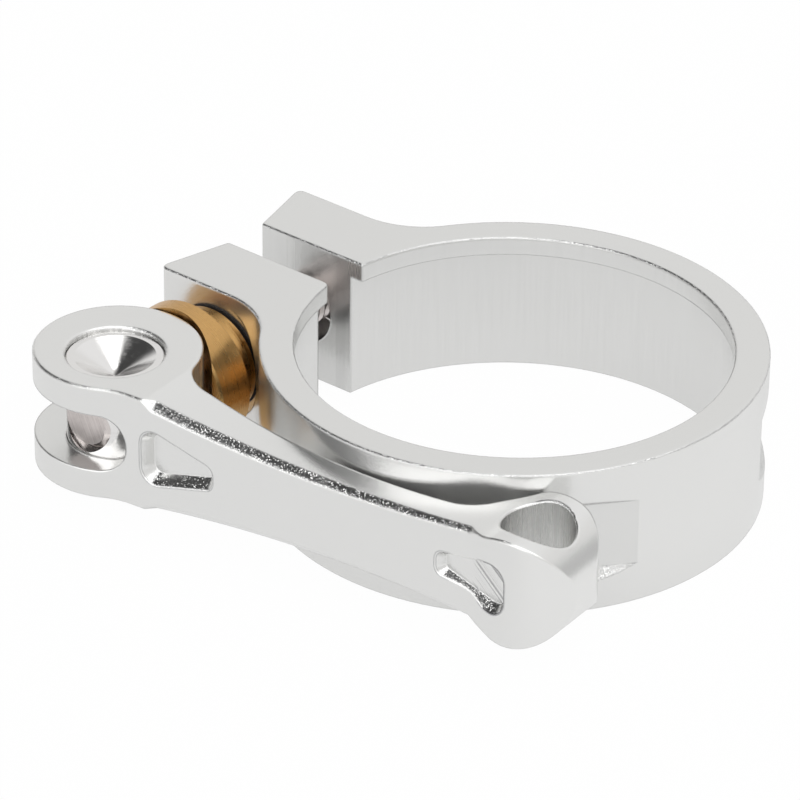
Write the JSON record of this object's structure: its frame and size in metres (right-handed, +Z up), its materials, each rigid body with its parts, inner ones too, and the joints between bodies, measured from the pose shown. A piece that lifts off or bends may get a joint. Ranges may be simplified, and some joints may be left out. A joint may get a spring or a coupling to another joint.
{
  "type": "quick-release seatpost clamp",
  "caption": "Split alloy band with a stop lip and two lugs, closed round a bicycle seat tube by a bolt, a barrel nut and a forked cam lever on a brass saddle washer.",
  "frame": {"origin": "on the axis of the band's bore, in the plane of the band's lower face", "axes": "+Z up along the seat tube, towards the saddle; the slit and the lugs point to -X; the bolt runs along Y with the lever on the -Y side"},
  "size_m": [0.0577, 0.0516, 0.0138],
  "materials": {
    "band_alloy": "satin silver anodised",
    "lever_alloy": "satin silver anodised with polished bevels",
    "barrel_steel": "polished",
    "bolt_steel": "zinc plated",
    "saddle_brass": "satin, fine turning lines",
    "washer_nylon": "black nylon"
  },
  "bodies": {
    "band": {"clamp_band": "band_alloy", "flat_washer": "washer_nylon", "saddle_washer": "saddle_brass"},
    "bolt": {"clamp_bolt": "bolt_steel"},
    "barrel": {"barrel_nut": "barrel_steel"},
    "lever": {"cam_lever": "lever_alloy"}
  },
  "joints": [
    {"name": "bolt_turn", "type": "hinge", "parent": "band", "child": "bolt", "pos_m": [-0.02615, 0, 0.0077], "axis": [0, 1, 0], "range_deg": [0, 1350]},
    {"name": "barrel_slide", "type": "slide", "parent": "band", "child": "barrel", "axis": [0, -1, 0], "range_m": [0, 0.003]},
    {"name": "lever_swing", "type": "hinge", "parent": "barrel", "child": "lever", "pos_m": [-0.02615, -0.0228, 0.0077], "axis": [0, 0, -1], "range_deg": [0, 175]}
  ],
  "couplings": [
    {"joint": "bolt_turn", "follows": "barrel_slide", "rad_per_m": 7853.9}
  ]
}
